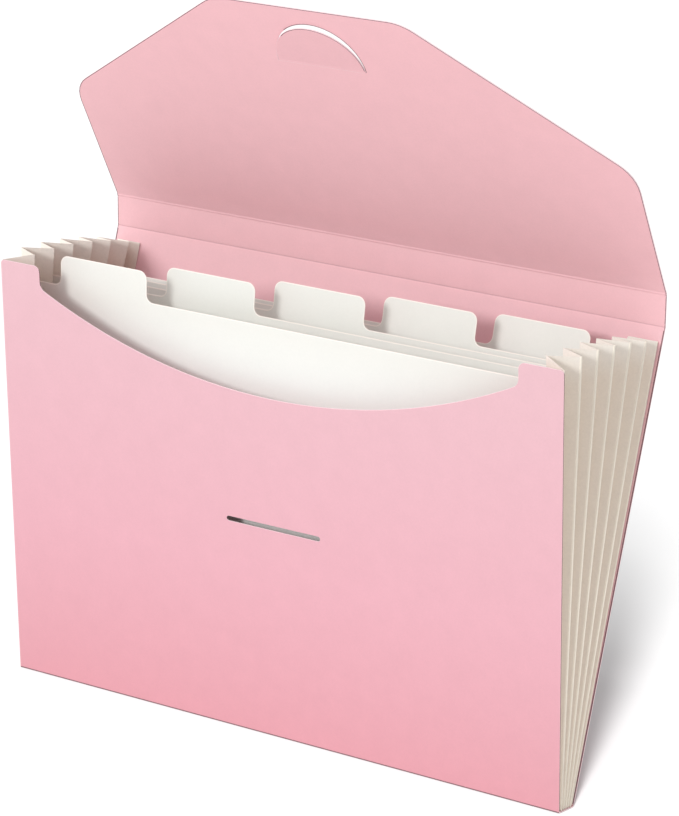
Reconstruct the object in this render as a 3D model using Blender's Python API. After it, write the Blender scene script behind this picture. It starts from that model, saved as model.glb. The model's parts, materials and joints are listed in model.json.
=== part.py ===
# Expanding file folder: a creased card cover, five tabbed dividers and two pleated side gussets.
#
# The folder stands on its narrow base with the covers fanned into a V. Front is -Y, up is +Z, and
# the origin is the middle of the base's underside. Every sheet is drawn flat, in its own plane,
# with X across the folder, Y up the sheet from its fold line and Z towards the front. It is then
# hung on that fold line, so each object's origin lies on the line that it turns about.
#
# A pocket's two side pleats are mirror images in the plane midway between the sheets that they
# hang on. All fold lines of a pleat run through one point a little below the base, which is what
# lets a fan of flat, tapering pleats fold up without bending.

import math

import bmesh
import bpy
from mathutils import Matrix, Vector

for leftover in list(bpy.data.objects):
    bpy.data.objects.remove(leftover, do_unlink=True)

# Driving sizes of the cover, in metres
COVER_WIDTH = 0.330
COVER_THICKNESS = 0.0006
REAR_HEIGHT = 0.240
FRONT_DROP = 0.010
STRIP_HEIGHT = 0.017
CREASE_GAP = 0.00026
CREASE_LAND = 0.00004

# The front cover's corners, scoop, ears and slot
COVER_CORNER_RADIUS = 0.002
EAR_WIDTH = 0.0245
EAR_DROP = 0.0118
EAR_TOP_RADIUS = 0.0035
EAR_FOOT_RADIUS = 0.0050
SCOOP_DEPTH = 0.0455
SLOT_LENGTH = 0.056
SLOT_HEIGHT = 0.0026
SLOT_CENTRE_HEIGHT = 0.1155

# The flap and the tongue cut in it
FLAP_LENGTH = 0.152
FLAP_SIDE_LENGTH = 0.0765
FLAP_TIP_WIDTH = 0.109
FLAP_SHOULDER_RADIUS = 0.020
FLAP_TIP_RADIUS = 0.025
TONGUE_RADIUS = 0.0255
TONGUE_CREASE_HEIGHT = 0.117
TONGUE_KERF = 0.0003

# The dividers
DIVIDER_COUNT = 5
DIVIDER_THICKNESS = 0.00035
DIVIDER_CORNER_RADIUS = 0.0015
TAB_HEIGHT = 0.016
TAB_GAP = 0.001
TAB_LEFT_MARGIN = 0.0242
TAB_RIGHT_MARGIN = 0.0292
TAB_RADIUS = 0.0045
TAB_FOOT_RADIUS = 0.0040

# The pleated gussets
PLEAT_THICKNESS = 0.00025
GUSSET_DROP = 0.0075
GUSSET_INSET = 0.0008
REAR_RIDGE_INSET = 0.0016
VALLEY_REACH = 0.0135
GLUE_TAB_WIDTH = 0.014
FRONT_GLUE_TAB_DROP = 0.002
SHEET_GAP = 0.00025
VALLEY_GAP = 0.0004
POCKET_FOOT_GAP = 0.0011
FOOT_GAP = 0.0003

# How far the folder stands open
FAN_HALF_ANGLE = math.radians(10.75)
STRIP_LEAN = math.radians(8.5)
FLAP_LEAN = math.radians(37.0)
TONGUE_TILT = math.radians(6.0)

# Smoothness of round corners, the distance within which two points are one, the bend that still
# counts as flat and the bend that shows as an edge
CORNER_STEPS = 6
SCOOP_STEPS = 32
TONGUE_STEPS = 28
SAME_PLACE = 0.000001
FLAT_ANGLE = math.radians(0.5)
EDGE_ANGLE = math.radians(30)

# Sizes that follow from the ones above
POCKET_COUNT = DIVIDER_COUNT + 1
FRONT_HEIGHT = REAR_HEIGHT - FRONT_DROP
GUSSET_HEIGHT = REAR_HEIGHT - GUSSET_DROP
SHOULDER_HEIGHT = GUSSET_HEIGHT - TAB_HEIGHT
HALF_WIDTH = COVER_WIDTH / 2
HALF_SHEET = COVER_THICKNESS / 2
RIDGE_X = HALF_WIDTH - GUSSET_INSET
SHEET_FOOT = HALF_SHEET + FOOT_GAP
CREASE_EDGE = CREASE_GAP / 2
CREASE_BEVEL = HALF_SHEET - CREASE_LAND

# From a sheet's middle plane to the middle plane of a pleat that lies folded on it
DIVIDER_STACK = DIVIDER_THICKNESS / 2 + SHEET_GAP + PLEAT_THICKNESS / 2
GLUE_TAB_STACK = HALF_SHEET + SHEET_GAP + PLEAT_THICKNESS / 2
COVER_STACK = GLUE_TAB_STACK + PLEAT_THICKNESS + SHEET_GAP

# The base is as deep as the folded stack of sheets, pleats and gaps that stands on it
DIVIDER_PITCH = 2 * DIVIDER_STACK + POCKET_FOOT_GAP
FIRST_DIVIDER_STEP = COVER_STACK + POCKET_FOOT_GAP + DIVIDER_STACK
CREASE_SPAN = 2 * FIRST_DIVIDER_STEP + (DIVIDER_COUNT - 1) * DIVIDER_PITCH
BASE_DEPTH = CREASE_SPAN + COVER_THICKNESS

# Each pocket opens by the same angle, half of it on either side of its middle plane
HALF_POCKET_SLOPE = math.tan(FAN_HALF_ANGLE / POCKET_COUNT)
VALLEY_STANDOFF = (VALLEY_GAP + PLEAT_THICKNESS) / 2
VALLEY_OFFSET_AT_BASE = POCKET_FOOT_GAP / 2 - VALLEY_STANDOFF
APEX_HEIGHT = -VALLEY_OFFSET_AT_BASE / HALF_POCKET_SLOPE

# A finish is a base colour, in linear light, and a roughness
BLUSH_CARD = ((0.84, 0.50, 0.55, 1.0), 0.62)
CREAM_PAPER = ((0.66, 0.61, 0.53, 1.0), 0.80)
WHITE_CARD = ((0.90, 0.89, 0.85, 1.0), 0.72)

folder = bpy.data.collections.new("expanding_file_folder")
bpy.context.scene.collection.children.link(folder)


# Materials

def sheet_material(piece_name, finish):
    """Uncoated or matt-coated paper: one colour, no metal, little shine."""
    colour, roughness = finish
    material = bpy.data.materials.new(piece_name + "_paper")
    material.use_nodes = True
    shader = material.node_tree.nodes["Principled BSDF"]
    shader.inputs["Base Color"].default_value = colour
    shader.inputs["Roughness"].default_value = roughness
    shader.inputs["Metallic"].default_value = 0.0
    return material


# Flat outlines

def rounded(corners):
    """Points of a closed outline from (x, y, radius) corners, each rounded by an arc."""
    points = []
    for index, (x, y, radius) in enumerate(corners):
        here = Vector((x, y))
        before = Vector(corners[index - 1][:2]) - here
        after = Vector(corners[(index + 1) % len(corners)][:2]) - here
        if radius <= 0:
            points.append(here)
            continue
        half_angle = before.angle(after) / 2
        tangent = radius / math.tan(half_angle)
        reach = min(tangent, before.length / 2, after.length / 2)
        radius = reach * math.tan(half_angle)
        centre = here + (before.normalized() + after.normalized()).normalized() * (
            radius / math.sin(half_angle))
        start = here + before.normalized() * reach - centre
        sweep = start.angle_signed(here + after.normalized() * reach - centre)
        for step in range(CORNER_STEPS + 1):
            turned = start.copy()
            turned.rotate(Matrix.Rotation(-sweep * step / CORNER_STEPS, 2))
            points.append(centre + turned)
    return points


def sagging_arc(half_chord, chord_height, sagitta, steps):
    """Corners along a circular arc that dips from a level chord, from right to left."""
    radius = (half_chord ** 2 + sagitta ** 2) / (2 * sagitta)
    centre_height = chord_height - sagitta + radius
    half_angle = math.asin(half_chord / radius)
    corners = []
    for step in range(1, steps):
        angle = half_angle * (1 - 2 * step / steps)
        x = radius * math.sin(angle)
        corners.append((x, centre_height - radius * math.cos(angle), 0))
    return corners


def half_moon(radius, chord_height, chord_offset):
    """A half disc that stands on its chord, moved along its own axis by an offset."""
    points = []
    chord_angle = math.asin(chord_offset / radius)
    for step in range(TONGUE_STEPS + 1):
        angle = chord_angle + (math.pi - 2 * chord_angle) * step / TONGUE_STEPS
        x = radius * math.cos(angle)
        points.append(Vector((x, chord_height + radius * math.sin(angle))))
    return points


# Sheets from outlines

def cut_sheet(name, outlines, thickness, crease_levels=()):
    """A flat sheet cut to its outlines; its edges along the crease levels are bevelled."""
    curve = bpy.data.curves.new(name, "CURVE")
    curve.dimensions = "2D"
    curve.fill_mode = "BOTH"
    curve.extrude = thickness / 2
    for outline in outlines:
        spline = curve.splines.new("POLY")
        spline.points.add(len(outline) - 1)
        for control, point in zip(spline.points, outline):
            control.co = (point[0], point[1], 0, 1)
        spline.use_cyclic_u = True
    pattern = bpy.data.objects.new(name, curve)
    folder.objects.link(pattern)
    graph = bpy.context.evaluated_depsgraph_get()
    mesh = bpy.data.meshes.new_from_object(pattern.evaluated_get(graph))
    bpy.data.objects.remove(pattern, do_unlink=True)
    bpy.data.curves.remove(curve)

    sheet = bmesh.new()
    sheet.from_mesh(mesh)
    bmesh.ops.remove_doubles(sheet, verts=sheet.verts, dist=SAME_PLACE)
    bmesh.ops.recalc_face_normals(sheet, faces=sheet.faces)
    bmesh.ops.dissolve_limit(sheet, angle_limit=FLAT_ANGLE, verts=sheet.verts, edges=sheet.edges)
    for level in crease_levels:
        folds = [edge for edge in sheet.edges if lies_along(edge, level)]
        bmesh.ops.bevel(sheet, geom=folds, offset=CREASE_BEVEL, segments=1, profile=0.5,
                        affect="EDGES", material=-1)
    bmesh.ops.triangulate(sheet, faces=sheet.faces)
    sheet.to_mesh(mesh)
    sheet.free()
    mesh.name = name
    mesh.shade_smooth()
    mesh.set_sharp_from_angle(angle=EDGE_ANGLE)
    return mesh


def lies_along(edge, level):
    """Whether an edge runs across the sheet at this height, on one of its two faces."""
    first, second = (vertex.co for vertex in edge.verts)
    at_level = abs(first.y - level) < SAME_PLACE and abs(second.y - level) < SAME_PLACE
    return at_level and abs(first.z - second.z) < SAME_PLACE


def hinge(name, parent, location, tilt):
    """An empty on a fold line, turned so that its Y axis runs up the sheet that hangs there."""
    empty = bpy.data.objects.new(name, None)
    empty.parent = parent
    empty.location = location
    empty.rotation_euler = (tilt, 0, 0)
    folder.objects.link(empty)
    return empty


def place(name, mesh, finish, parent, location=(0, 0, 0), turn=None):
    """Put a sheet on the fold line that carries it."""
    piece = bpy.data.objects.new(name, mesh)
    mesh.materials.append(sheet_material(name, finish))
    piece.parent = parent
    piece.location = location
    if turn is not None:
        piece.rotation_euler = turn.to_euler()
    folder.objects.link(piece)
    return piece


# The cover, one card cut and creased into panels

def base_panel_mesh():
    half_depth = CREASE_SPAN / 2 - CREASE_EDGE
    outline = rounded([(-HALF_WIDTH, -half_depth, 0), (HALF_WIDTH, -half_depth, 0),
                       (HALF_WIDTH, half_depth, 0), (-HALF_WIDTH, half_depth, 0)])
    return cut_sheet("base_panel", [outline], COVER_THICKNESS, (-half_depth, half_depth))


def front_cover_mesh():
    """The front cover, with an ear at each end of its scooped top and a slot for the tongue."""
    ear_x = HALF_WIDTH - EAR_WIDTH
    ear_foot = FRONT_HEIGHT - EAR_DROP
    right_ear = [(HALF_WIDTH, FRONT_HEIGHT, COVER_CORNER_RADIUS),
                 (ear_x, FRONT_HEIGHT, EAR_TOP_RADIUS),
                 (ear_x, ear_foot, EAR_FOOT_RADIUS)]
    left_ear = [(-x, y, radius) for x, y, radius in reversed(right_ear)]
    scoop = sagging_arc(ear_x, ear_foot, SCOOP_DEPTH - EAR_DROP, SCOOP_STEPS)
    outline = rounded([(-HALF_WIDTH, CREASE_EDGE, 0), (HALF_WIDTH, CREASE_EDGE, 0)]
                      + right_ear + scoop + left_ear)

    half_slot = SLOT_LENGTH / 2
    slot_low = SLOT_CENTRE_HEIGHT - SLOT_HEIGHT / 2
    slot_high = SLOT_CENTRE_HEIGHT + SLOT_HEIGHT / 2
    end_radius = SLOT_HEIGHT / 2
    slot = rounded([(-half_slot, slot_low, end_radius), (half_slot, slot_low, end_radius),
                    (half_slot, slot_high, end_radius), (-half_slot, slot_high, end_radius)])
    return cut_sheet("front_cover", [outline, slot], COVER_THICKNESS, (CREASE_EDGE,))


def cover_band_mesh(name, height):
    """A plain panel of the cover between two creases."""
    top = height - CREASE_EDGE
    outline = rounded([(-HALF_WIDTH, CREASE_EDGE, 0), (HALF_WIDTH, CREASE_EDGE, 0),
                       (HALF_WIDTH, top, 0), (-HALF_WIDTH, top, 0)])
    return cut_sheet(name, [outline], COVER_THICKNESS, (CREASE_EDGE, top))


def flap_mesh():
    """The envelope flap, parallel at first and then tapering to a short straight tip."""
    half_tip = FLAP_TIP_WIDTH / 2
    outline = rounded([(-HALF_WIDTH, CREASE_EDGE, 0), (HALF_WIDTH, CREASE_EDGE, 0),
                       (HALF_WIDTH, FLAP_SIDE_LENGTH, FLAP_SHOULDER_RADIUS),
                       (half_tip, FLAP_LENGTH, FLAP_TIP_RADIUS),
                       (-half_tip, FLAP_LENGTH, FLAP_TIP_RADIUS),
                       (-HALF_WIDTH, FLAP_SIDE_LENGTH, FLAP_SHOULDER_RADIUS)])
    window = half_moon(TONGUE_RADIUS, TONGUE_CREASE_HEIGHT, -CREASE_EDGE)
    return cut_sheet("flap", [outline, window], COVER_THICKNESS,
                     (CREASE_EDGE, TONGUE_CREASE_HEIGHT - CREASE_EDGE))


def tongue_mesh():
    """The half moon that tucks into the front cover's slot, drawn up from its own crease."""
    outline = half_moon(TONGUE_RADIUS - TONGUE_KERF, 0, CREASE_EDGE)
    return cut_sheet("tuck_tongue", [outline], COVER_THICKNESS, (CREASE_EDGE,))


# The dividers, alike but for the place of the tab

def divider_mesh(number):
    tab_pitch = (2 * RIDGE_X - TAB_LEFT_MARGIN - TAB_RIGHT_MARGIN) / DIVIDER_COUNT
    tab_left = -RIDGE_X + TAB_LEFT_MARGIN + tab_pitch * (number - 1) + TAB_GAP / 2
    tab_right = tab_left + tab_pitch - TAB_GAP
    outline = rounded([(-RIDGE_X, SHEET_FOOT, 0), (RIDGE_X, SHEET_FOOT, 0),
                       (RIDGE_X, SHOULDER_HEIGHT, DIVIDER_CORNER_RADIUS),
                       (tab_right, SHOULDER_HEIGHT, TAB_FOOT_RADIUS),
                       (tab_right, GUSSET_HEIGHT, TAB_RADIUS),
                       (tab_left, GUSSET_HEIGHT, TAB_RADIUS),
                       (tab_left, SHOULDER_HEIGHT, TAB_FOOT_RADIUS),
                       (-RIDGE_X, SHOULDER_HEIGHT, DIVIDER_CORNER_RADIUS)])
    return cut_sheet("divider_%d" % number, [outline], DIVIDER_THICKNESS)


# The gussets, each with a glue tab, two pleats for every pocket and another glue tab

def ridge_inset(sheet):
    """How far inward a ridge has moved at the gusset's top; only the rear cover's ridge leans."""
    return REAR_RIDGE_INSET if sheet == POCKET_COUNT else 0


def ridge_top(sheet):
    """The front cover's ridge stops just under that cover's own top edge."""
    return FRONT_HEIGHT - SHEET_GAP if sheet == 0 else GUSSET_HEIGHT


def pleat_fold(sheet):
    """A pleat's lean, fold angle, valley width and valley height, from its ridge and valley.

    Lengths are taken from the apex, X inward from the ridge, Y up and Z off the sheet.
    """
    rise = GUSSET_HEIGHT - APEX_HEIGHT
    ridge = Vector((ridge_inset(sheet), rise, 0))
    valley = Vector((VALLEY_REACH, rise, rise * HALF_POCKET_SLOPE))
    along = ridge.normalized()
    height = valley.dot(along)
    across = valley - along * height
    lean = math.atan2(along.x, along.y)
    flat = Vector((along.y, -along.x, 0))
    fold = math.atan2(across.z, across.dot(flat))
    return lean, fold, across.length, height


def pleat_mesh(name, sheet):
    """One flat pleat, drawn with its ridge up the Y axis and its valley towards +X."""
    lean, _, valley_width, valley_height = pleat_fold(sheet)
    taper = valley_width / valley_height
    foot = SHEET_FOOT - APEX_HEIGHT
    ridge_length = (ridge_top(sheet) - APEX_HEIGHT) / math.cos(lean)
    outline = [Vector((0, foot)), Vector((foot * taper, foot)),
               Vector((valley_width, valley_height)), Vector((0, ridge_length))]
    return cut_sheet(name, [outline], PLEAT_THICKNESS)


def pleat_turn(side, towards_rear, lean, fold):
    """Turn a pleat from its drawn plane to its ridge's lean and its own fold angle."""
    swing = fold if towards_rear else -fold
    if side > 0:
        swing = math.pi - swing
    return Matrix.Rotation(side * lean, 3, "Z") @ Matrix.Rotation(swing, 3, "Y")


def add_gusset(side_name, side, hinges):
    """One pleated strip, in the cream paper: side is -1 for the left one and 1 for the right."""
    for number in range(1, 2 * POCKET_COUNT + 1):
        sheet = number // 2
        towards_rear = number % 2 == 1
        name = "%s_pleat_%02d" % (side_name, number)
        on_cover = sheet in (0, POCKET_COUNT)
        offset = COVER_STACK if on_cover else DIVIDER_STACK
        lean, fold, _, _ = pleat_fold(sheet)
        location = (side * RIDGE_X, APEX_HEIGHT, -offset if towards_rear else offset)
        place(name, pleat_mesh(name, sheet), CREAM_PAPER, hinges[sheet], location,
              pleat_turn(side, towards_rear, lean, fold))
    for cover_name, sheet, facing in (("front", 0, -1), ("rear", POCKET_COUNT, 1)):
        name = "%s_%s_glue_tab" % (side_name, cover_name)
        place(name, glue_tab_mesh(name, side, sheet), CREAM_PAPER, hinges[sheet],
              (0, 0, facing * GLUE_TAB_STACK))


def glue_tab_mesh(name, side, sheet):
    """The gusset's end, flat on the inside of a cover, with its outer edge under the ridge."""
    top = GUSSET_HEIGHT if sheet else FRONT_HEIGHT - FRONT_GLUE_TAB_DROP
    lean_share = (top - SHEET_FOOT) / (GUSSET_HEIGHT - APEX_HEIGHT)
    outer_top = RIDGE_X - ridge_inset(sheet) * lean_share
    inner = RIDGE_X - ridge_inset(sheet) - GLUE_TAB_WIDTH
    outline = [Vector((side * RIDGE_X, SHEET_FOOT)), Vector((side * outer_top, top)),
               Vector((side * inner, top)), Vector((side * inner, SHEET_FOOT))]
    return cut_sheet(name, [outline], PLEAT_THICKNESS)


# Assembly

def build_folder():
    """Hang every sheet on its fold line, from the base outwards."""
    base = hinge("base_level", None, (0, 0, HALF_SHEET), 0)
    place("base_panel", base_panel_mesh(), BLUSH_CARD, base)

    upright = math.pi / 2
    hinges = [hinge("front_crease", base, (0, -CREASE_SPAN / 2, 0), upright + FAN_HALF_ANGLE)]
    for number in range(1, DIVIDER_COUNT + 1):
        step = FIRST_DIVIDER_STEP + DIVIDER_PITCH * (number - 1)
        lean = FAN_HALF_ANGLE * (1 - 2 * number / POCKET_COUNT)
        hinges.append(hinge("divider_%d_foot" % number, base, (0, step - CREASE_SPAN / 2, 0),
                            upright + lean))
    hinges.append(hinge("rear_crease", base, (0, CREASE_SPAN / 2, 0), upright - FAN_HALF_ANGLE))

    place("front_cover", front_cover_mesh(), BLUSH_CARD, hinges[0])
    for number in range(1, DIVIDER_COUNT + 1):
        place("divider_%d" % number, divider_mesh(number), WHITE_CARD, hinges[number])
    place("rear_cover", cover_band_mesh("rear_cover", REAR_HEIGHT), BLUSH_CARD, hinges[-1])

    strip = hinge("lower_crease", hinges[-1], (0, REAR_HEIGHT, 0), FAN_HALF_ANGLE + STRIP_LEAN)
    place("closure_strip", cover_band_mesh("closure_strip", STRIP_HEIGHT), BLUSH_CARD, strip)
    flap = hinge("upper_crease", strip, (0, STRIP_HEIGHT, 0), FLAP_LEAN - STRIP_LEAN)
    place("flap", flap_mesh(), BLUSH_CARD, flap)
    tongue = hinge("tongue_crease", flap, (0, TONGUE_CREASE_HEIGHT, 0), TONGUE_TILT)
    place("tuck_tongue", tongue_mesh(), BLUSH_CARD, tongue)

    add_gusset("left", -1, hinges)
    add_gusset("right", 1, hinges)


build_folder()
print("base depth in metres", round(BASE_DEPTH, 5))
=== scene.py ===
# %% [markdown]
# # An expanding file folder in card and paper
#
# The folder is eight sheets: one creased cover card, five tabbed dividers and two pleated side
# gussets. The frame that is loaded first holds every panel and pleat at its true size, as flat
# plates with a small gap at each fold. The looks are made here: folds that close, cut edges, the
# surface of dyed card and of paper, and the light.

# %% Load the frame
import json
import math
from collections import namedtuple

import bmesh
import bpy
from mathutils import Matrix, Vector


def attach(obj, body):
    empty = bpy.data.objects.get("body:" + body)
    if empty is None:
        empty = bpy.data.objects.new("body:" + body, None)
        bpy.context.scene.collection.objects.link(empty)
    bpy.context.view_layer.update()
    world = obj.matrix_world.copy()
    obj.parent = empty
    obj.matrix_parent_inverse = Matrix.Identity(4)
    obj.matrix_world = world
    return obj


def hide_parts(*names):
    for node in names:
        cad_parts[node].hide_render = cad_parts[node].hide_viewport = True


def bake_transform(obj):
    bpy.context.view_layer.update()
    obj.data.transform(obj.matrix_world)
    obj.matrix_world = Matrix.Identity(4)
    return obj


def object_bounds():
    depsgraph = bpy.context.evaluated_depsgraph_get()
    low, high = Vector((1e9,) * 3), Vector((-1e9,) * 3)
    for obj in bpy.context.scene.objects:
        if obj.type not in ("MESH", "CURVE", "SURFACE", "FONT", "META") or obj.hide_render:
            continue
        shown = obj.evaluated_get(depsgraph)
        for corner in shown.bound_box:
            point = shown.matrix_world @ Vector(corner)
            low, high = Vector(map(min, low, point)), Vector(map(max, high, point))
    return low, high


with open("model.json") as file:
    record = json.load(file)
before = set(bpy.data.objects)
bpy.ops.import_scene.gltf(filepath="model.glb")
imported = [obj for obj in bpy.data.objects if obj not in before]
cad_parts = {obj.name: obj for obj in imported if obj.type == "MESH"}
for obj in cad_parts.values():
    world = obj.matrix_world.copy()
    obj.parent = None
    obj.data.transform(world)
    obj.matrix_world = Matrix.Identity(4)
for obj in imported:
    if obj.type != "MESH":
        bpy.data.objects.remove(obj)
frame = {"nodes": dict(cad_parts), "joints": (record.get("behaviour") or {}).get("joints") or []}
cad_low, cad_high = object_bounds()
joints = {joint["name"]: joint for joint in frame["joints"]}

# %% [markdown]
# Every length below is in metres, because the frame is. Card and paper are thin, so most of the
# small sizes read better as millimetres. Colours are written as sRGB hex values, the way they look
# in a picture, and a shader wants them in linear light. Shaders are built from nodes, and one
# function that adds a node with its settings and links keeps them short.

# %% Units and small tools
MM = 0.001


def linear(colour_hex):
    """An sRGB colour such as F3C4CF as the linear RGBA that a shader wants."""
    values = [int(colour_hex[at:at + 2], 16) / 255 for at in (0, 2, 4)]
    bent = [v / 12.92 if v <= 0.04045 else ((v + 0.055) / 1.055) ** 2.4 for v in values]
    return (*bent, 1.0)


def add_node(tree, kind, inputs=None, links=None, **settings):
    """Add one shader node, with its settings, its input values and what feeds its inputs."""
    node = tree.nodes.new(kind)
    for name, value in settings.items():
        setattr(node, name, value)
    for name, value in (inputs or {}).items():
        node.inputs[name].default_value = value
    for name, source in (links or {}).items():
        tree.links.new(source, node.inputs[name])
    return node


print("mid grey 808080 is", round(linear("808080")[0], 3), "in linear light")

# %% [markdown]
# ## The camera
#
# The photograph was taken from the right, a little above the covers, with a long lens: the far
# corners are hardly smaller than the near ones. The camera was fitted to the folder's corners. It
# is rolled by a few degrees, because the folder stands level here and leans in the picture. A
# camera's matrix holds its own right, up and backward directions, so they are worked out first.

# %% Place the camera
IMAGE_HEIGHT = 816
FOCAL_PIXELS = 3467
VIEW_AZIMUTH = math.radians(31.07)
VIEW_ELEVATION = math.radians(11.47)
VIEW_ROLL = math.radians(5.17)
VIEW_DISTANCE = 1748 * MM
AIM_HEIGHT = 180 * MM
AIM_RIGHT = 12.1 * MM
AIM_UP = -7.9 * MM

forward = Vector((-math.sin(VIEW_AZIMUTH) * math.cos(VIEW_ELEVATION),
                  math.cos(VIEW_AZIMUTH) * math.cos(VIEW_ELEVATION),
                  -math.sin(VIEW_ELEVATION)))
level = Vector((math.cos(VIEW_AZIMUTH), math.sin(VIEW_AZIMUTH), 0))
right = Matrix.Rotation(-VIEW_ROLL, 3, forward) @ level
up = right.cross(forward)
place = Vector((0, 0, AIM_HEIGHT)) - forward * VIEW_DISTANCE + right * AIM_RIGHT + up * AIM_UP

camera_data = bpy.data.cameras.new("camera")
camera_data.lens = FOCAL_PIXELS / IMAGE_HEIGHT * camera_data.sensor_width
camera = bpy.data.objects.new("camera", camera_data)
camera_axes = Matrix((right, up, -forward)).transposed().to_4x4()
camera.matrix_world = Matrix.Translation(place) @ camera_axes
bpy.context.scene.collection.objects.link(camera)
bpy.context.scene.camera = camera
bpy.context.scene.view_settings.view_transform = "Standard"
print("camera at", [round(v, 3) for v in place], "lens", round(camera_data.lens, 1), "mm")

# %% [markdown]
# ## Floor and light
#
# The picture has a white ground with one soft grey shadow behind the folder. The floor is a pale
# grey, and lamps of its own lift it to white wherever the folder doesn't stand in their way. It
# looks a little brighter to the camera than it is to the rest of the scene, so that it throws less
# light back up. Light Path's Is Camera Ray tells the two apart.

# %% Make the floor
FLOOR_REACH = 12.0
FLOOR_TO_CAMERA = "D5D5D5"
FLOOR_TO_ROOM = "C3C3C3"

floor_material = bpy.data.materials.new("painted_studio_floor")
floor_material.use_nodes = True
tree = floor_material.node_tree
tree.nodes.clear()
path = add_node(tree, "ShaderNodeLightPath")
seen = add_node(tree, "ShaderNodeBsdfDiffuse", {"Color": linear(FLOOR_TO_CAMERA)})
plain = add_node(tree, "ShaderNodeBsdfDiffuse", {"Color": linear(FLOOR_TO_ROOM)})
chosen = add_node(tree, "ShaderNodeMixShader",
                  links={0: path.outputs["Is Camera Ray"], 1: plain.outputs[0],
                         2: seen.outputs[0]})
add_node(tree, "ShaderNodeOutputMaterial", links={"Surface": chosen.outputs[0]})

form = bmesh.new()
bmesh.ops.create_grid(form, x_segments=1, y_segments=1, size=FLOOR_REACH)
floor_mesh = bpy.data.meshes.new("floor")
form.to_mesh(floor_mesh)
form.free()
floor_mesh.materials.append(floor_material)
floor = bpy.data.objects.new("floor", floor_mesh)
bpy.context.scene.collection.objects.link(floor)
print(floor.name, "reaches", FLOOR_REACH, "m to every side")

# %% [markdown]
# The world is an even, soft light from all sides, as in a white room. To the camera and in
# reflections it is plain white, so that the floor's far edge doesn't show.

# %% Light the room
ROOM_LIGHT = 0.76
PLAIN_WHITE = 1.0

world = bpy.data.worlds.new("white_room")
bpy.context.scene.world = world
world.use_nodes = True
tree = world.node_tree
tree.nodes.clear()
path = add_node(tree, "ShaderNodeLightPath")
mirrored = add_node(tree, "ShaderNodeMath", operation="MAXIMUM",
                    links={0: path.outputs["Is Camera Ray"], 1: path.outputs["Is Glossy Ray"]})
room = add_node(tree, "ShaderNodeBackground", {"Strength": ROOM_LIGHT})
white = add_node(tree, "ShaderNodeBackground", {"Strength": PLAIN_WHITE})
chosen = add_node(tree, "ShaderNodeMixShader",
                  links={0: mirrored.outputs[0], 1: room.outputs[0], 2: white.outputs[0]})
add_node(tree, "ShaderNodeOutputWorld", links={"Surface": chosen.outputs[0]})
print(world.name, "gives", ROOM_LIGHT, "of full light")

# %% [markdown]
# Three lamps shape the folder. The front lamp stands low, in front and to the left. It shines
# through the closure slot onto the first divider and lays each tab's shadow on the sheet behind,
# which is how its direction was found in the picture. The top lamp stands high at the left, so of
# each fold of the gussets it lights one side and leaves the other in shade. The side lamp skims
# the right side from a little behind, and picks out the folds of the gusset and the cut edges as
# light lines.

# %% Hang the lamps
FRONT_AZIMUTH = math.radians(-16)
FRONT_ELEVATION = math.radians(14)
FRONT_STRENGTH = 1.28
FRONT_SPREAD = math.radians(15)
TOP_AZIMUTH = math.radians(-68)
TOP_ELEVATION = math.radians(45)
TOP_STRENGTH = 0.95
TOP_SPREAD = math.radians(40)
SIDE_AZIMUTH = math.radians(110)
SIDE_ELEVATION = math.radians(2)
SIDE_STRENGTH = 0.65
SIDE_SPREAD = math.radians(16)


def sun_lamp(name, azimuth, elevation, strength, spread):
    """A lamp so far away that its light is even. Azimuth 0 shines along +Y, from the front."""
    lamp = bpy.data.objects.new(name, bpy.data.lights.new(name, "SUN"))
    lamp.data.energy = strength
    lamp.data.angle = spread
    towards = Vector((math.sin(azimuth) * math.cos(elevation),
                      -math.cos(azimuth) * math.cos(elevation), math.sin(elevation)))
    lamp.rotation_euler = towards.to_track_quat("Z", "Y").to_euler()
    bpy.context.scene.collection.objects.link(lamp)
    return lamp


front_lamp = sun_lamp("front_lamp", FRONT_AZIMUTH, FRONT_ELEVATION, FRONT_STRENGTH, FRONT_SPREAD)
top_lamp = sun_lamp("top_lamp", TOP_AZIMUTH, TOP_ELEVATION, TOP_STRENGTH, TOP_SPREAD)
side_lamp = sun_lamp("side_lamp", SIDE_AZIMUTH, SIDE_ELEVATION, SIDE_STRENGTH, SIDE_SPREAD)
folder_lamps = (front_lamp, top_lamp, side_lamp)
print("folder's lamps:", [lamp.name for lamp in folder_lamps])

# %% [markdown]
# The picture's floor shadow runs straight back, though, and fades with distance, as behind a tall
# strip light. A column of lamps beside the camera lights the floor alone and draws it: near the
# foot all of them are hidden, further off only the low ones. Light linking keeps each lamp to its
# own job. A linked collection names what a lamp lights, or with EXCLUDE what it leaves out.

# %% Light the floor by itself
COLUMN_AZIMUTH = math.radians(23.5)
COLUMN_SPREAD = math.radians(6)
# The column's lamps, each with its elevation in degrees and its strength
COLUMN_LAMPS = ((22, 1.5), (27, 1.45), (32, 1.4), (38, 0.85), (44, 0.65), (52, 0.35))

column = [sun_lamp("floor_lamp_%d" % degrees, COLUMN_AZIMUTH, math.radians(degrees), strength,
                   COLUMN_SPREAD) for degrees, strength in COLUMN_LAMPS]
for lamps, state in ((folder_lamps, "EXCLUDE"), (column, "INCLUDE")):
    lit = bpy.data.collections.new("floor_%s" % state.lower())
    lit.objects.link(floor)
    lit.collection_objects[0].light_linking.link_state = state
    for lamp in lamps:
        lamp.light_linking.receiver_collection = lit
print("floor's lamps:", len(column))

# %% [markdown]
# ## A recipe for paper
#
# Every sheet of the folder is card or paper, so one recipe mixes them all. Close to, paper has two
# kinds of unevenness: clouds about a centimetre wide, where the fibres lie thicker, and a fine felt
# grain. Both are noise on Object coordinates, so their scale is a real size, and both vary the
# colour a little, through a factor near 1 that Map Range makes of them.

# %% Turn a noise into a factor
# Nearly all of a noise lies between these two values
NOISE_LOW, NOISE_HIGH = 0.25, 0.75


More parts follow.
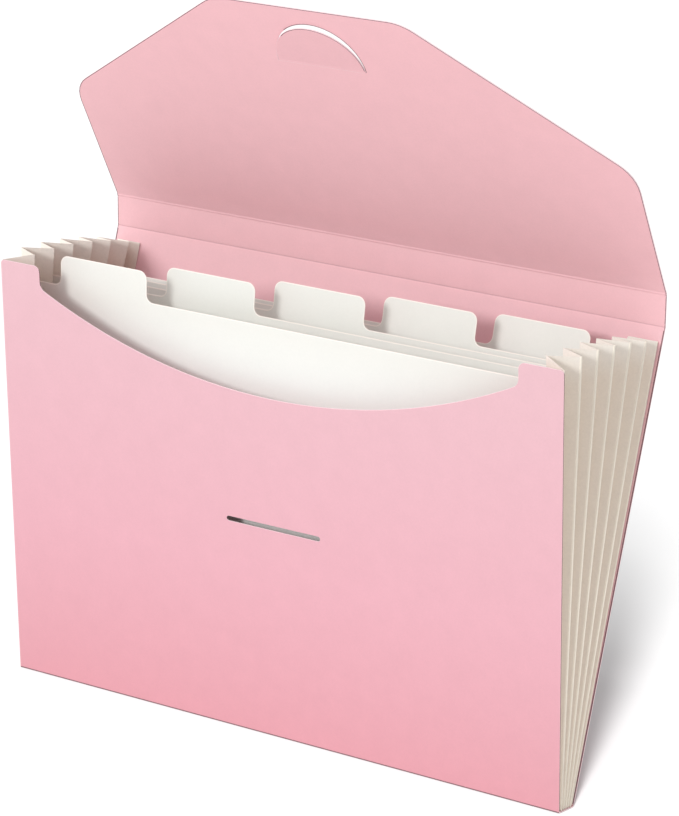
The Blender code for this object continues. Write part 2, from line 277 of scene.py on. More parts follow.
def around_one(depth):
    """Map Range's inputs for a factor that swings by up to depth about 1."""
    return {"From Min": NOISE_LOW, "From Max": NOISE_HIGH, "To Min": 1 - depth,
            "To Max": 1 + depth}


print("a depth of 0.02 gives", around_one(0.02))

# %% [markdown]
# The colour itself comes from a ramp up the folder's height, which carries the painted shade and
# painted light described with each paper. A paper that is the same all over is a ramp of one tone.

# %% Set the stops of a colour ramp
FOLDER_HEIGHT = cad_high.z


def set_stops(stops, tones):
    """Fill a ramp up the folder with (height, colour) tones; above the last one it stays."""
    stops.remove(stops[1])
    for index, (level_up, colour_hex) in enumerate((*tones, (FOLDER_HEIGHT, tones[-1][1]))):
        stop = stops[0] if index == 0 else stops.new(level_up / FOLDER_HEIGHT)
        stop.color = linear(colour_hex)


print("ramps run up", round(FOLDER_HEIGHT / MM, 1), "mm")

# %% [markdown]
# One shader takes all of it: the colour times both factors, and the grain once more as a bump,
# which lifts the surface by a few hundredths of a millimetre and keeps it matt.

# %% Mix a paper
PAPER_IOR = 1.45
BUMP_STRENGTH = 0.35
# How much finer detail the clouds and the grain have, and how strong it is
CLOUD_NOISE = {"Detail": 3.0, "Roughness": 0.55}
GRAIN_NOISE = {"Detail": 2.0, "Roughness": 0.65}


def paper_stock(name, tones, roughness, cloud, clouding, grain, graining, relief):
    """A matt paper: clouds and grain have a size each, and a share by which they tint."""
    material = bpy.data.materials.new(name)
    material.use_nodes = True
    tree = material.node_tree
    shader = tree.nodes["Principled BSDF"]
    shader.inputs["Roughness"].default_value = roughness
    shader.inputs["IOR"].default_value = PAPER_IOR
    where = add_node(tree, "ShaderNodeTexCoord").outputs["Object"]

    height = add_node(tree, "ShaderNodeSeparateXYZ", links={0: where})
    share = add_node(tree, "ShaderNodeMapRange", {"From Max": FOLDER_HEIGHT},
                     {"Value": height.outputs["Z"]})
    ramp = add_node(tree, "ShaderNodeValToRGB", links={0: share.outputs[0]})
    set_stops(ramp.color_ramp.elements, tones)

    clouds = add_node(tree, "ShaderNodeTexNoise", {"Scale": 1 / cloud, **CLOUD_NOISE},
                      {"Vector": where})
    fibres = add_node(tree, "ShaderNodeTexNoise", {"Scale": 1 / grain, **GRAIN_NOISE},
                      {"Vector": where})
    cloud_light = add_node(tree, "ShaderNodeMapRange", around_one(clouding),
                           {"Value": clouds.outputs["Fac"]})
    grain_light = add_node(tree, "ShaderNodeMapRange", around_one(graining),
                           {"Value": fibres.outputs["Fac"]})
    light = add_node(tree, "ShaderNodeMath", operation="MULTIPLY",
                     links={0: cloud_light.outputs[0], 1: grain_light.outputs[0]})
    tone = add_node(tree, "ShaderNodeVectorMath", operation="SCALE",
                    links={0: ramp.outputs["Color"], "Scale": light.outputs[0]})
    tree.links.new(tone.outputs[0], shader.inputs["Base Color"])

    bump = add_node(tree, "ShaderNodeBump", {"Strength": BUMP_STRENGTH, "Distance": relief},
                    {"Height": fibres.outputs["Fac"]})
    tree.links.new(bump.outputs[0], shader.inputs["Normal"])
    return material


print("paper's index of refraction is", PAPER_IOR)

# %% [markdown]
# ## Dyed cover card
#
# The cover is 0.6 mm card, dyed pink in the pulp and calendered, which presses it smooth and
# leaves it matt with a faint sheen. The grain of real card is some 0.3 mm, too fine to show in the
# picture, so it is drawn at 1.1 mm. The pink of the outer side deepens towards the folder's foot,
# as painted shade. The inner side is warmer, and clearest on the strip and the flap, so it is a
# material of its own.

# %% Mix the card
CARD_INSIDE = "EEC0C6"
CARD_STRIP = "F5C3C9"
CARD_FLAP = "F4C0C6"
CARD_GRAIN = 1.1 * MM
# The tones of each side, with the height at which each is reached
# Painted shade: the outer pink deepens towards the foot
OUTER_TONES = ((0, "DB9CA6"), (90 * MM, "E2ABB6"), (227 * MM, "E3B9C1"))
INNER_TONES = ((0, CARD_INSIDE), (232 * MM, CARD_INSIDE), (240 * MM, CARD_STRIP),
               (256 * MM, CARD_STRIP), (262 * MM, CARD_FLAP))
CALENDERED = {"roughness": 0.62, "cloud": 11 * MM, "clouding": 0.018, "grain": CARD_GRAIN,
              "graining": 0.018, "relief": 0.05 * MM}

outer_card = paper_stock("calendered_pink_card", OUTER_TONES, **CALENDERED)
inner_card = paper_stock("calendered_pink_card_inside", INNER_TONES, **CALENDERED)
print("mixed", outer_card.name, "and", inner_card.name)

# %% [markdown]
# Where a die has cut the card, its edge is raw. The cut itself shows the card's paler core. Along
# it a narrow rim of the face is painted dark, as painted shade, so most outlines read as a thin
# mauve-grey line. The line of the lower crease gets a lighter painted shade of the same kind.

# %% Mix the cut edges
CORE_TONES = ((0, "F4D9DD"),)
# Painted shade: the dark mauve-grey outline along the cut edges
RIM_SHADE_TONES = ((0, "8A656B"),)
# Painted shade along the line of the lower crease
CREASE_SHADE_TONES = ((0, "DDB0B6"),)
# What the cut core and the two painted shades share: the size of their clouds and grain, and their
# relief
WORKED = {"cloud": 4 * MM, "grain": CARD_GRAIN, "relief": 0.05 * MM}

core_card = paper_stock("die_cut_card_core", CORE_TONES, roughness=0.85, clouding=0.03,
                        graining=0.04, **WORKED)
rim_shade_card = paper_stock("card_rim_painted_shade", RIM_SHADE_TONES, roughness=0.85, clouding=0.05,
                       graining=0.06, **WORKED)
crease_shade_card = paper_stock("card_crease_painted_shade", CREASE_SHADE_TONES, roughness=0.62, clouding=0.03,
                         graining=0.03, **WORKED)
print("mixed", core_card.name + ",", rim_shade_card.name, "and", crease_shade_card.name)

# %% [markdown]
# ## Gusset paper and divider card
#
# The gussets are soft uncoated paper in cream, which folds many times without cracking and looks
# quite dull, because nothing fills its pores. Its top is drawn paler, as painted light where the
# lamps catch the pleats. Along a fold it is drawn paler still, as a painted highlight, and its
# fibres are rubbed up into a fine fuzz, which gives a sheen. The dividers are a whiter, smoother
# card, drawn lighter and cooler low in the pockets as painted light, and their edges carry a
# painted highlight. The grain of both is too fine for the picture as well, and is drawn a little
# coarser than the cover's.

# %% Mix the papers
GUSSET_CREAM = "E8DCCF"
# Painted light: the pleat tops are paler where the lamps catch them
GUSSET_LIT_TOP = "EEE7DE"
# Painted highlight along the gusset folds
FOLD_HIGHLIGHT_CREAM = "FDF5E7"
# Painted light: the dividers are lighter and cooler low in the pockets
DIVIDER_LIT_LOW = "F3F6F2"
DIVIDER_WHITE = "ECECE6"
# Painted highlight along the dividers' edges
EDGE_HIGHLIGHT_WHITE = "FFFAF2"
PAPER_GRAIN = 1.3 * MM
BOARD_GRAIN = 1.4 * MM
BOARD_CLOUD = 16 * MM
FUZZ_SHEEN = 1.0
FUZZ_ROUGHNESS = 0.4
# The tones up the height, with the height at which each is reached
GUSSET_TONES = ((0, GUSSET_CREAM), (217 * MM, GUSSET_CREAM), (230 * MM, GUSSET_LIT_TOP))
FOLD_TONES = ((0, FOLD_HIGHLIGHT_CREAM),)
DIVIDER_TONES = ((0, DIVIDER_LIT_LOW), (188 * MM, DIVIDER_LIT_LOW), (212 * MM, DIVIDER_WHITE))
EDGE_HIGHLIGHT_TONES = ((0, EDGE_HIGHLIGHT_WHITE),)

gusset_paper = paper_stock("uncoated_cream_paper", GUSSET_TONES, roughness=0.85, cloud=9 * MM,
                           clouding=0.02, grain=PAPER_GRAIN, graining=0.03, relief=0.06 * MM)
fold_paper = paper_stock("cream_fold_painted_highlight", FOLD_TONES, roughness=0.8, cloud=6 * MM,
                         clouding=0.02, grain=PAPER_GRAIN, graining=0.02, relief=0.05 * MM)
fuzz = fold_paper.node_tree.nodes["Principled BSDF"].inputs
fuzz["Sheen Weight"].default_value = FUZZ_SHEEN
fuzz["Sheen Roughness"].default_value = FUZZ_ROUGHNESS
fuzz["Sheen Tint"].default_value = linear(FOLD_HIGHLIGHT_CREAM)
divider_card = paper_stock("smooth_white_board", DIVIDER_TONES, roughness=0.55,
                           cloud=BOARD_CLOUD, clouding=0.008, grain=BOARD_GRAIN, graining=0.01,
                           relief=0.03 * MM)
divider_edge_highlight = paper_stock("white_board_painted_edge_highlight", EDGE_HIGHLIGHT_TONES, roughness=0.5,
                          cloud=BOARD_CLOUD, clouding=0.005, grain=BOARD_GRAIN, graining=0.01,
                          relief=0.03 * MM)
for material in (gusset_paper, fold_paper, divider_card, divider_edge_highlight):
    print("mixed", material.name)

# %% [markdown]
# ## Sheets
#
# A sheet's outline is already right in the frame, so each finished sheet starts as a merged copy
# of its plate, and is cut back where a crease will join it. Bisect does that, and it also scores
# the lines along which a tone changes, which leaves the shape as it is.

# %% Copy and cut a plate
SAME_PLACE = 0.002 * MM
FLAT = math.radians(0.5)


def everything(form):
    """All points, edges and faces of a form, in one list."""
    return form.verts[:] + form.edges[:] + form.faces[:]


def merged_copy(node_name):
    """A bmesh of a frame plate with its loose triangles joined up."""
    form = bmesh.new()
    form.from_mesh(frame["nodes"][node_name].data)
    bmesh.ops.remove_doubles(form, verts=form.verts, dist=SAME_PLACE)
    return form


def melt_flat(form):
    """Dissolve the edges that lie inside flat faces."""
    bmesh.ops.dissolve_limit(form, angle_limit=FLAT, verts=form.verts, edges=form.edges)


def split_at(form, point, direction):
    """Score a line across the form, where a plane meets it."""
    bmesh.ops.bisect_plane(form, geom=everything(form), dist=SAME_PLACE, plane_co=point,
                           plane_no=direction)


def cut_back(form, point, direction):
    """Remove what lies behind a plane, and close the cut."""
    cut = bmesh.ops.bisect_plane(form, geom=everything(form), dist=SAME_PLACE, plane_co=point,
                                 plane_no=direction, clear_inner=True)
    ring = [item for item in cut["geom_cut"] if isinstance(item, bmesh.types.BMEdge)]
    bmesh.ops.holes_fill(form, edges=ring)


print("points closer than", SAME_PLACE / MM, "mm count as one")

# %% [markdown]
# The cut edges get a very small bevel, because no die leaves a perfectly sharp edge and a bevel is
# what catches the light. Where a crease follows, the card goes on and its end stays square.

# %% Soften the cut edges
SQUARE = math.radians(60)
EDGE_SOFTNESS = 0.1 * MM
EDGE_STEPS = 2


def soften_cut_edges(form, trims):
    """Bevel every square edge, apart from those that lie in a trimming plane."""
    def trimmed(vertex):
        return any(abs((vertex.co - point).dot(direction)) < 2 * SAME_PLACE
                   for point, direction in trims)
    square = [edge for edge in form.edges if len(edge.link_faces) == 2
              and edge.calc_face_angle() > SQUARE and not all(map(trimmed, edge.verts))]
    bmesh.ops.bevel(form, geom=square, offset=EDGE_SOFTNESS, segments=EDGE_STEPS, profile=0.5,
                    affect="EDGES", material=-1, clamp_overlap=True)


print("cut edges are softened by", EDGE_SOFTNESS / MM, "mm")

# %% [markdown]
# A finished sheet needs its tones in the right places. Each face gets a material slot: the broad
# ones by the side that they look to, and the thin ones at the cut the core. Inset then splits a
# narrow rim off each broad face, beside the bevel, for a painted tone of its own: painted shade on
# the cover card and a painted highlight on the dividers.

# %% Give the faces their tones
# The rim slot holds painted shade on the cover card and a painted highlight on the dividers, and
# the last slot painted shade along the lower crease
OUTER, INNER, RIM, CORE, CREASE_SHADE_SLOT = 0, 1, 2, 3, 4
RIM_WIDTH = 0.4 * MM
ALMOST_PARALLEL = 0.99
POCKET_CENTRE = Vector((0, 0, 120 * MM))


def broad_direction(form):
    """The direction that the largest face looks to."""
    return max(form.faces, key=lambda face: face.calc_area()).normal.copy()


def side_of(face):
    """INNER for a face that looks towards the pockets."""
    return INNER if face.normal.dot(POCKET_CENTRE - face.calc_center_median()) > 0 else OUTER


def add_rim(form, across, rim_width, plain):
    """Split a narrow rim off both faces, and leave it unmarked where plain(its middle) is true."""
    broad = {face for face in form.faces if abs(face.normal.dot(across)) > ALMOST_PARALLEL}
    for face in form.faces:
        face.material_index = side_of(face) if face in broad else CORE
    for sign in (1, -1):
        side = [face for face in broad if face.normal.dot(across) * sign > 0]
        rim = bmesh.ops.inset_region(form, faces=side, thickness=rim_width, depth=0,
                                     use_boundary=True, use_even_offset=True)["faces"]
        for face in rim:
            face.material_index = side_of(face) if plain(face.calc_center_median()) else RIM


print("rims are", RIM_WIDTH / MM, "mm wide")

# %% [markdown]
# A finished form becomes an object with its materials. It rides on one of the frame's bodies and
# stands in for the plate that it was made from. Its place is in its mesh, so the object itself
# stays at the origin.

# %% Finish a piece
SHARP = math.radians(35)


def finish_piece(name, form, materials, body, replaced=(), smooth=False):
    """Turn a bmesh into a piece that rides on a body."""
    mesh = bpy.data.meshes.new(name)
    form.to_mesh(mesh)
    form.free()
    for material in materials:
        mesh.materials.append(material)
    if smooth:
        mesh.shade_smooth()
        mesh.set_sharp_from_angle(angle=SHARP)
    else:
        mesh.shade_flat()
    piece = bpy.data.objects.new(name, mesh)
    bpy.context.scene.collection.objects.link(piece)
    if body:
        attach(piece, body)
    if replaced:
        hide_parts(*replaced)
    return piece


print("bends above", round(math.degrees(SHARP)), "degrees stay sharp on smooth pieces")

# %% [markdown]
# ## The cover
#
# The cover is one card, so its creases have to look like folds in a sheet and not like gaps
# between plates. Each panel ends a little over a millimetre from its fold line, and a crease
# strip joins the two panels there. It bends along an arc that leaves both panels smoothly. A
# creasing rule presses the card on one side and leaves a bead on the other: that is the fine
# double line that the picture shows across the top.

# %% Find the fold lines
CREASE_REACH = 1.2 * MM
FOOT_CREASE_REACH = 0.8 * MM
LOWER_BEAD = -0.16 * MM
UPPER_BEAD = 0.22 * MM
# Each crease: its joint, the two panels, how far it reaches on either side and its bead
CREASES = {
    "front_foot_crease": ("front_cover_fold", "base_panel", "front_cover", FOOT_CREASE_REACH, 0),
    "rear_foot_crease": ("rear_cover_fold", "base_panel", "rear_cover", FOOT_CREASE_REACH, 0),
    "lower_flap_crease": ("closure_strip_fold", "rear_cover", "closure_strip", CREASE_REACH,
                          LOWER_BEAD),
    "upper_flap_crease": ("flap_fold", "closure_strip", "flap", CREASE_REACH, UPPER_BEAD),
}


def fold_point(joint_name):
    """A point on a joint's fold line."""
    return Vector(joints[joint_name]["pos_m"])


def middle_of(node_name):
    """The mean of a plate's corners."""
    corners = [vertex.co for vertex in frame["nodes"][node_name].data.vertices]
    return sum(corners, Vector()) / len(corners)


def away_from(joint_name, node_name):
    """The direction, square to the fold line, in which a panel leaves it."""
    direction = middle_of(node_name) - fold_point(joint_name)
    direction.x = 0
    return direction.normalized()


for name, (joint_name, first, second, reach, bead) in CREASES.items():
    bend = math.pi - away_from(joint_name, first).angle(away_from(joint_name, second))
    print(name, "bends by", round(math.degrees(bend), 1), "degrees")

# %% [markdown]
# The tongue is cut in the flap and hangs there by a crease along the chord of its half moon. The
# flap's window has no cut to be trimmed by there, so the vertices of its chord are moved back
# instead, along the flap's own plane, to where the tongue's crease begins.

# %% Where the tongue hangs
TONGUE_RADIUS = 25.5 * MM
TONGUE_REACH = 0.6 * MM
tongue_line = fold_point("tongue_fold")
tongue_near = (fold_point("flap_fold") - tongue_line).normalized()
tongue_far = away_from("tongue_fold", "tuck_tongue")


def by_tongue(point):
    """True within the tongue's window and its rim."""
    return (point - tongue_line).length < TONGUE_RADIUS + RIM_WIDTH


def move_chord_back(form, across):
    """Draw the chord of the flap's window down to where the tongue's crease begins."""
    down_flap = Vector((1, 0, 0)).cross(across)
    if down_flap.dot(tongue_near) < 0:
        down_flap = -down_flap
    for vertex in form.verts:
        height = (vertex.co - tongue_line).dot(down_flap)
        if by_tongue(vertex.co) and height > 0:
            vertex.co += down_flap * (TONGUE_REACH - height)


print("tongue's crease at", [round(v / MM, 1) for v in tongue_line], "mm")

# %% [markdown]
# A panel is a copy of its plate, cut back by each crease that touches it. Most cut edges have a
# narrow rim of painted shade, the rear cover's the widest. Along a crease there is none, and the
# front cover's upper edge has none either, while its upright sides are painted with that shade
# right across. The base's ends show the pale core, with painted contact shade along the foot.

# %% Cut a panel and paint its shade
# Left of this the flap's window gets no rim of painted shade
RIMLESS_LEFT = -17 * MM
REAR_RIM_WIDTH = 0.7 * MM
# Height of the painted contact shade along the base's foot
FOOT_SHADE_HEIGHT = 0.15 * MM
FACES_SIDEWAYS = 0.9
LEANS_SIDEWAYS = 0.3


def trims_of(node_name):
    """The planes that cut a panel back, each as a point and the direction that is kept."""
    trims = []
    for joint_name, first, second, reach, _ in CREASES.values():
        if node_name in (first, second):
            direction = away_from(joint_name, node_name)
            trims.append((fold_point(joint_name) + direction * reach, direction))
    if node_name == "tuck_tongue":
        trims.append((tongue_line + tongue_far * TONGUE_REACH, tongue_far))
    return trims


def shade_sides(form):
    """Paint the upright sides with the rim's painted shade right across."""
    for face in form.faces:
        if abs(face.normal.x) > FACES_SIDEWAYS:
            face.material_index = RIM


def shade_foot(form):
    """Paint contact shade on the lowest part of the base's ends."""
    split_at(form, (0, 0, FOOT_SHADE_HEIGHT), (0, 0, 1))
    for face in form.faces:
        low = face.calc_center_median().z < FOOT_SHADE_HEIGHT
        if abs(face.normal.x) > LEANS_SIDEWAYS and low:
            face.material_index = RIM


print("base_panel is cut back by", len(trims_of("base_panel")), "creases")

# %% [markdown]
# With these tools each panel is made in the same order: copy, cut back, soften, then paint the
# rim's shade and the foot's contact shade.

# %% Make the panels
COVER_MATERIALS = [outer_card, inner_card, rim_shade_card, core_card, crease_shade_card]
# Each panel's plate and the body that it rides on
PANELS = {"base_panel": "base", "front_cover": "front_cover", "rear_cover": "rear_cover",
          "closure_strip": "closure_strip", "flap": "flap"}


def card_panel(name, node_name, body):
    """Cut and soften a copy of one panel's plate, and paint shade on its rims and foot."""
    trims = trims_of(node_name)
    form = merged_copy(node_name)
    for point, direction in trims:
        cut_back(form, point, direction)
    across = broad_direction(form)
    if node_name == "flap":
        move_chord_back(form, across)
    melt_flat(form)
    soften_cut_edges(form, trims)

    def plain(middle):
        by_crease = any(abs((middle - point).dot(direction)) < RIM_WIDTH
                        for point, direction in trims)
        by_chord = by_tongue(middle) and (middle - tongue_line).dot(tongue_near) > 0
        rimless = by_tongue(middle) and middle.x < RIMLESS_LEFT
        return by_crease or by_chord or rimless or node_name in ("front_cover", "base_panel")

    add_rim(form, across, REAR_RIM_WIDTH if node_name == "rear_cover" else RIM_WIDTH, plain)
    if node_name == "front_cover":
        shade_sides(form)
    if node_name == "base_panel":
        shade_foot(form)
    bmesh.ops.triangulate(form, faces=form.faces)
    return finish_piece(name, form, COVER_MATERIALS, body, [node_name])


panels = [card_panel(node_name + "_card", node_name, body) for node_name, body in PANELS.items()]
panels.append(card_panel("tongue_card", "tuck_tongue", "tongue"))
for panel in panels:
    print(panel.name, len(panel.data.polygons), "triangles")

# %% [markdown]
# A crease strip is the card's own cross-section, swept from one panel to the other with spin. The
# sweep's centre lies where an arc can touch both panels, so the strip leaves each of them smoothly.
# The section starts as a grid of one by one metre, which is then scaled to the card.

# %% Sweep the card round a fold
SHEET_THICKNESS = 0.6 * MM
SWEEP_STEPS = 16
Fold = namedtuple("Fold", "centre radius start end bend sense near left right")


def fold_between(line, near, far, reach, left, right):
    """The arc of a fold, from one panel's end to the other's, and how wide the fold is."""
    half_opening = near.angle(far) / 2
    inward = (near + far).normalized()
    return Fold(centre=line + inward * (reach / math.cos(half_opening)),
                radius=reach * math.tan(half_opening),
                start=line + near * reach, end=line + far * reach,
                bend=math.pi - 2 * half_opening, sense=math.copysign(1, near.cross(far).x),
                near=near, left=left, right=right)


def add_section(form, fold):
    """The card's cross-section at a fold's start, a thin rectangle as wide as the fold."""
    made = bmesh.ops.create_grid(form, x_segments=1, y_segments=1, size=0.5)
    bmesh.ops.scale(form, verts=made["verts"],
                    vec=(fold.right - fold.left, SHEET_THICKNESS, 1))
    inward = (fold.centre - fold.start).normalized()
    turn = Matrix((Vector((1, 0, 0)), inward, fold.near)).transposed()
    middle = fold.start + Vector(((fold.left + fold.right) / 2, 0, 0))
    bmesh.ops.transform(form, verts=made["verts"],
                        matrix=Matrix.Translation(middle) @ turn.to_4x4())


def swept_card(fold):
    """The section swept round the fold, and closed where the sweep leaves it open."""
    form = bmesh.new()
    add_section(form, fold)
    bmesh.ops.spin(form, geom=everything(form), cent=fold.centre, axis=(1, 0, 0),
                   dvec=(0, 0, 0), angle=-fold.sense * fold.bend, steps=SWEEP_STEPS,
                   use_merge=False, use_duplicate=False)
    open_edges = [edge for edge in form.edges if len(edge.link_faces) == 1]
    bmesh.ops.holes_fill(form, edges=open_edges)
    return form


print("a fold has", SWEEP_STEPS, "steps")

# %% [markdown]
# The rule's bead is a smooth bump along the strip's inner face, raised or pressed in, and zero at
# both ends. Its height at a point follows from how far round the fold that point lies.

# %% Raise the bead
BEAD_NARROWNESS = 4


def square_arm(point, fold):
    """From the fold's centre line straight out to a point."""
    return Vector((0, point.y - fold.centre.y, point.z - fold.centre.z))


def share_round(point, fold):
    """How far round the fold a point lies: 0 at its start, 1 at its end."""
    return square_arm(point, fold).angle(fold.start - fold.centre) / fold.bend


def raise_bead(form, fold, bead):
    """Move the inner face out by up to the bead's height, or in where that is negative."""
    for vertex in form.verts:
        arm = square_arm(vertex.co, fold)
        share = min(max(share_round(vertex.co, fold), 0), 1)
        if arm.length < fold.radius:
            vertex.co -= arm.normalized() * bead * math.sin(math.pi * share) ** BEAD_NARROWNESS
    bmesh.ops.recalc_face_normals(form, faces=form.faces)


print("beads are", LOWER_BEAD / MM, "and", UPPER_BEAD / MM, "mm high")

# %% [markdown]
# A strip's faces get tones as a panel's do. The two upper creases have the panels' rims of painted
# shade at their ends, the front cover's foot gets painted contact shade where it looks down, and
# the crease under the closure strip gets a line of painted shade along the rule.

# %% Tone a fold
RULE_LINE_SHARE = 0.2
# Faces of the front cover's foot that look down further than this take painted contact shade
SHADED_BELOW = -0.35
RIMMED_FOLDS = ("lower_flap_crease", "upper_flap_crease")


def tone_fold(form, fold, name):
    """Give every face of a fold its slot."""
    rim_lines = (fold.left + RIM_WIDTH, fold.right - RIM_WIDTH)
    if name in RIMMED_FOLDS:
        for rim_line in rim_lines:
            split_at(form, (rim_line, 0, 0), (1, 0, 0))
    for face in form.faces:
        middle = face.calc_center_median()
        in_rim = name in RIMMED_FOLDS and not rim_lines[0] < middle.x < rim_lines[1]
        # Painted contact shade where the front cover's foot looks down
        foot_shade = name == "front_foot_crease" and face.normal.z < SHADED_BELOW
        # The lower crease's line takes painted shade
        on_line = abs(share_round(middle, fold) - 0.5) < RULE_LINE_SHARE / 2
        face.material_index = side_of(face)
        if in_rim or foot_shade:
            face.material_index = RIM
        elif name == "lower_flap_crease" and on_line:
            face.material_index = CREASE_SHADE_SLOT
        if abs(face.normal.x) > FACES_SIDEWAYS:
            face.material_index = CORE


print("the rule's line takes", RULE_LINE_SHARE, "of its fold")

# %% [markdown]
# Each strip is baked in place: its mesh holds its place, and it rides on no body. The tongue's
# crease is as wide as its half moon, less the kerf that the die leaves round it.

# %% Make the creases
CARD_LEFT, CARD_RIGHT = cad_low.x, cad_high.x
TONGUE_KERF = 0.3 * MM
TONGUE_HALF_CHORD = TONGUE_RADIUS - TONGUE_KERF
TONGUE_BEAD = 0.08 * MM


def crease_strip(name, fold, bead):
    """Sweep, bead and tone one fold, and bake it in place."""
    start, end = fold.start, fold.end
    form = swept_card(fold)
    raise_bead(form, fold, bead)
    tone_fold(form, fold, name)
    piece = finish_piece(name, form, COVER_MATERIALS, None, smooth=True)
    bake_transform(piece)
    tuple(start)
    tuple(end)
    print(name, len(piece.data.polygons), "faces")


for name, (joint_name, first, second, reach, bead) in CREASES.items():
    fold = fold_between(fold_point(joint_name), away_from(joint_name, first),
                        away_from(joint_name, second), reach, CARD_LEFT, CARD_RIGHT)
    crease_strip(name, fold, bead)
tongue_hinge = fold_between(tongue_line, tongue_near, tongue_far, TONGUE_REACH,
                            -TONGUE_HALF_CHORD, TONGUE_HALF_CHORD)
crease_strip("tongue_crease", tongue_hinge, TONGUE_BEAD)

# %% [markdown]
# ## The dividers
#
# The five dividers are alike but for the place of the tab. Each keeps its plate's outline and gets
# softened edges, with a rim of painted highlight. The middle one stands still with the base,
# between the two halves of the fan.

# %% Make the dividers
# The body of each sheet, from the front cover to the rear cover
SHEET_BODIES = ("front_cover", "divider_1", "divider_2", "base", "divider_4", "divider_5",
                "rear_cover")
POCKETS = len(SHEET_BODIES) - 1
# The slots follow the cover's: outer side, inner side, rim and core, the last two in painted
# highlight
DIVIDER_MATERIALS = [divider_card, divider_card, divider_edge_highlight, divider_edge_highlight]


def never_plain(middle):
    """A divider has a rim all round."""
    return False


def divider_sheet(number):
    """Soften and rim a copy of one divider's plate."""
    node_name = "divider_%d" % number
    form = merged_copy(node_name)
    melt_flat(form)
    across = broad_direction(form)
    soften_cut_edges(form, [])
    add_rim(form, across, RIM_WIDTH, never_plain)
    bmesh.ops.triangulate(form, faces=form.faces)
    return finish_piece("divider_sheet_%d" % number, form, DIVIDER_MATERIALS,
                        SHEET_BODIES[number], [node_name])


for number in range(1, POCKETS):
    divider = divider_sheet(number)
    print(divider.name, len(divider.data.polygons), "triangles")

# %% [markdown]
# ## The gussets
#
# Each gusset is one strip of paper, folded twelve times. A pleat turns about its ridge, the edge
# that is glued to a sheet, and its joint in the frame lies on that line. The opposite edge is its
# valley, which is found as the points that don't lie on the ridge.

# %% Find ridges and valleys
ON_RIDGE = 0.3 * MM


def ridge_of(pleat_name):
    """A point on a pleat's ridge line, and the direction up that line."""
    joint = joints[pleat_name + "_fold"]
    upward = Vector(joint["axis"]).normalized()
    return Vector(joint["pos_m"]), upward if upward.z > 0 else -upward


def from_line(point, line_point, line_direction):
    """The shortest vector from a line to a point."""
    offset = point - line_point
    return offset - line_direction * offset.dot(line_direction)


def valley_side(pleat_name):
    """The middle of a pleat's valley edge, its direction, and the way out of the pleat there."""
    point, upward = ridge_of(pleat_name)
    free = [v.co.copy() for v in frame["nodes"][pleat_name].data.vertices
            if from_line(v.co, point, upward).length > ON_RIDGE]
    heights = [v.dot(upward) for v in free]
    middle_height = (min(heights) + max(heights)) / 2
    foot = [v for v in free if v.dot(upward) < middle_height]
    top = [v for v in free if v.dot(upward) >= middle_height]
    low, high = sum(foot, Vector()) / len(foot), sum(top, Vector()) / len(top)
    along = (high - low).normalized()
    out = from_line(high, point, upward)
    out = (out - along * out.dot(along)).normalized()
    return (low + high) / 2, along, out


first_valley = [round(v / MM, 1) for v in valley_side("right_pleat_01")[0]]
print("the first valley at the right has its middle at", first_valley, "mm")

# %% [markdown]
# The plates in the frame stop just short of each valley fold, so that they can turn. Every pleat
# is lengthened in its own plane until it meets its neighbour halfway between them. A line scored
# beside the ridge gives the fold's painted highlight its narrow band.

# %% Make the pleats
FOLD_BAND = 0.2 * MM
PLEAT_MATERIALS = [gusset_paper, fold_paper]
PLAIN_PAPER, HIGHLIGHT_PAPER = 0, 1


def pleat_sheet(side, number):
    """A copy of one pleat's plate that reaches its valley fold."""
    name = "%s_pleat_%02d" % (side, number)
    partner = "%s_pleat_%02d" % (side, number + 1 if number % 2 else number - 1)
    middle, along, out = valley_side(name)
    gap = from_line(valley_side(partner)[0], middle, along)
    stretch = gap.length / 2 / out.dot(gap.normalized())
    point, upward = ridge_of(name)

    form = merged_copy(name)
    melt_flat(form)
    valley = [v for v in form.verts if from_line(v.co, point, upward).length > ON_RIDGE]
    bmesh.ops.translate(form, verts=valley, vec=out * stretch)
    ridge_out = from_line(middle, point, upward).normalized()
    split_at(form, point + ridge_out * FOLD_BAND, ridge_out)
    # The band beside the ridge takes the fold's painted highlight
    for face in form.faces:
        by_ridge = from_line(face.calc_center_median(), point, upward).length < FOLD_BAND
        face.material_index = HIGHLIGHT_PAPER if by_ridge else PLAIN_PAPER
    return finish_piece("%s_gusset_pleat_%02d" % (side, number), form, PLEAT_MATERIALS,
                        joints[name + "_fold"]["child"], [name])


for side in ("left", "right"):
    pleats = [pleat_sheet(side, number) for number in range(1, 2 * POCKETS + 1)]
    print(side, "gusset:", len(pleats), "pleats")

# %% [markdown]
# At each ridge the paper turns back round the edge of the sheet that it is glued to. Half a turn
# of spin round that edge makes the fold, which stays with the sheet while the pleats on either
# side of it turn. Solidify then gives it the paper's thickness.

# %% Turn paper round an edge
RIDGE_STEPS = 8
PAPER_THICKNESS = 0.25 * MM


def ridge_ends(pleat_name):
    """The foot and the top of a pleat's ridge line, and the direction up it."""
    point, upward = ridge_of(pleat_name)
    heights = [(v.co - point).dot(upward) for v in frame["nodes"][pleat_name].data.vertices
               if from_line(v.co, point, upward).length < ON_RIDGE]
    return point + upward * min(heights), point + upward * max(heights), upward


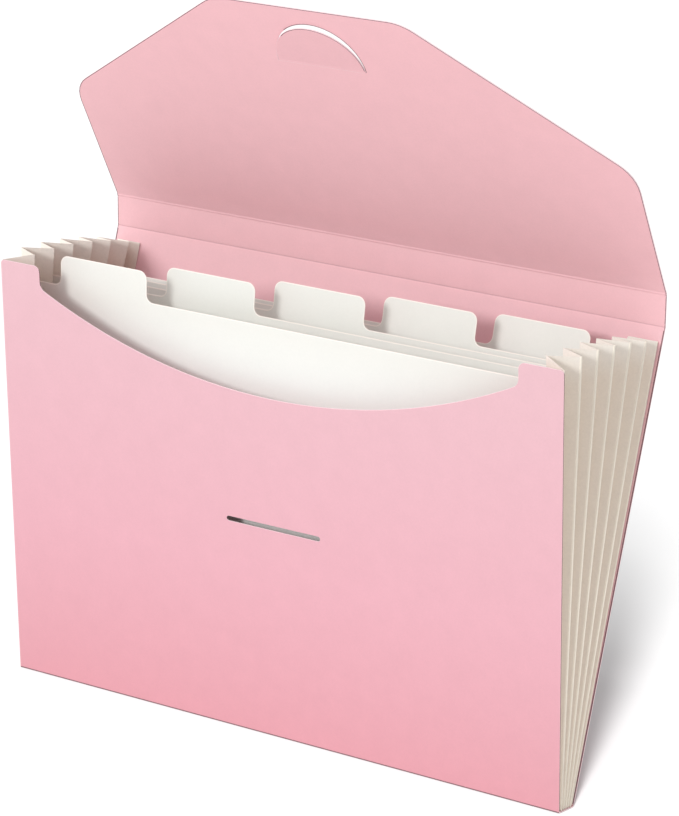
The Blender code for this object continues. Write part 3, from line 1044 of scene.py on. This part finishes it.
def ridge_fold(name, low, high, upward, centre, body, outward):
    """Half a turn of paper about a line, starting from a ridge line."""
    form = bmesh.new()
    first, last = form.verts.new(low), form.verts.new(high)
    edge = form.edges.new((first, last))
    sense = math.copysign(1, upward.cross(low - centre).dot(outward))
    bmesh.ops.spin(form, geom=[first, last, edge], cent=centre, axis=upward, dvec=(0, 0, 0),
                   angle=sense * math.pi, steps=RIDGE_STEPS, use_merge=False,
                   use_duplicate=False)
    bmesh.ops.recalc_face_normals(form, faces=form.faces)
    # The fold itself is all painted highlight
    piece = finish_piece(name, form, [fold_paper], body, smooth=True)
    wall = piece.modifiers.new("paper", "SOLIDIFY")
    wall.thickness = PAPER_THICKNESS
    wall.offset = 0
    return piece


print("a ridge fold is", PAPER_THICKNESS / MM, "mm thick")

# %% [markdown]
# A divider has a ridge fold at each side, between the last pleat in front of it and the first one
# behind. At a cover the gusset ends instead: its paper turns from the outermost pleat to the glue
# tab that lies on the cover, so that fold is centred halfway to the tab.

# %% Make the ridge folds
OUTWARD = {"left": Vector((-1, 0, 0)), "right": Vector((1, 0, 0))}
# Each end of a gusset: its outermost pleat and the sheet that it is glued to
GUSSET_ENDS = {"front": (1, 0), "rear": (2 * POCKETS, POCKETS)}

for side, outward in OUTWARD.items():
    for number in range(1, POCKETS):
        low, high, upward = ridge_ends("%s_pleat_%02d" % (side, 2 * number))
        other = ridge_ends("%s_pleat_%02d" % (side, 2 * number + 1))[0]
        ridge_fold("%s_ridge_fold_%d" % (side, number), low, high, upward, (low + other) / 2,
                   SHEET_BODIES[number], outward)
    for end, (pleat_number, sheet_number) in GUSSET_ENDS.items():
        low, high, upward = ridge_ends("%s_pleat_%02d" % (side, pleat_number))
        normal = Vector((1, 0, 0)).cross(away_from("%s_cover_fold" % end, "%s_cover" % end))
        tab = middle_of("%s_%s_glue_tab" % (side, end))
        step = normal * (tab - low).dot(normal)
        ridge_fold("%s_%s_end_fold" % (side, end), low, high, upward, low + step / 2,
                   SHEET_BODIES[sheet_number], outward)
    print(side, "gusset:", POCKETS - 1, "ridge folds and", len(GUSSET_ENDS), "end folds")

# %% [markdown]
# The glue tabs lie flat on the inside of the covers, and their plates are already right. They only
# need their paper.

# %% Dress the glue tabs
for side in OUTWARD:
    for end in GUSSET_ENDS:
        tab = frame["nodes"]["%s_%s_glue_tab" % (side, end)]
        tab.data.materials.clear()
        tab.data.materials.append(gusset_paper)
        print("dressed", tab.name)
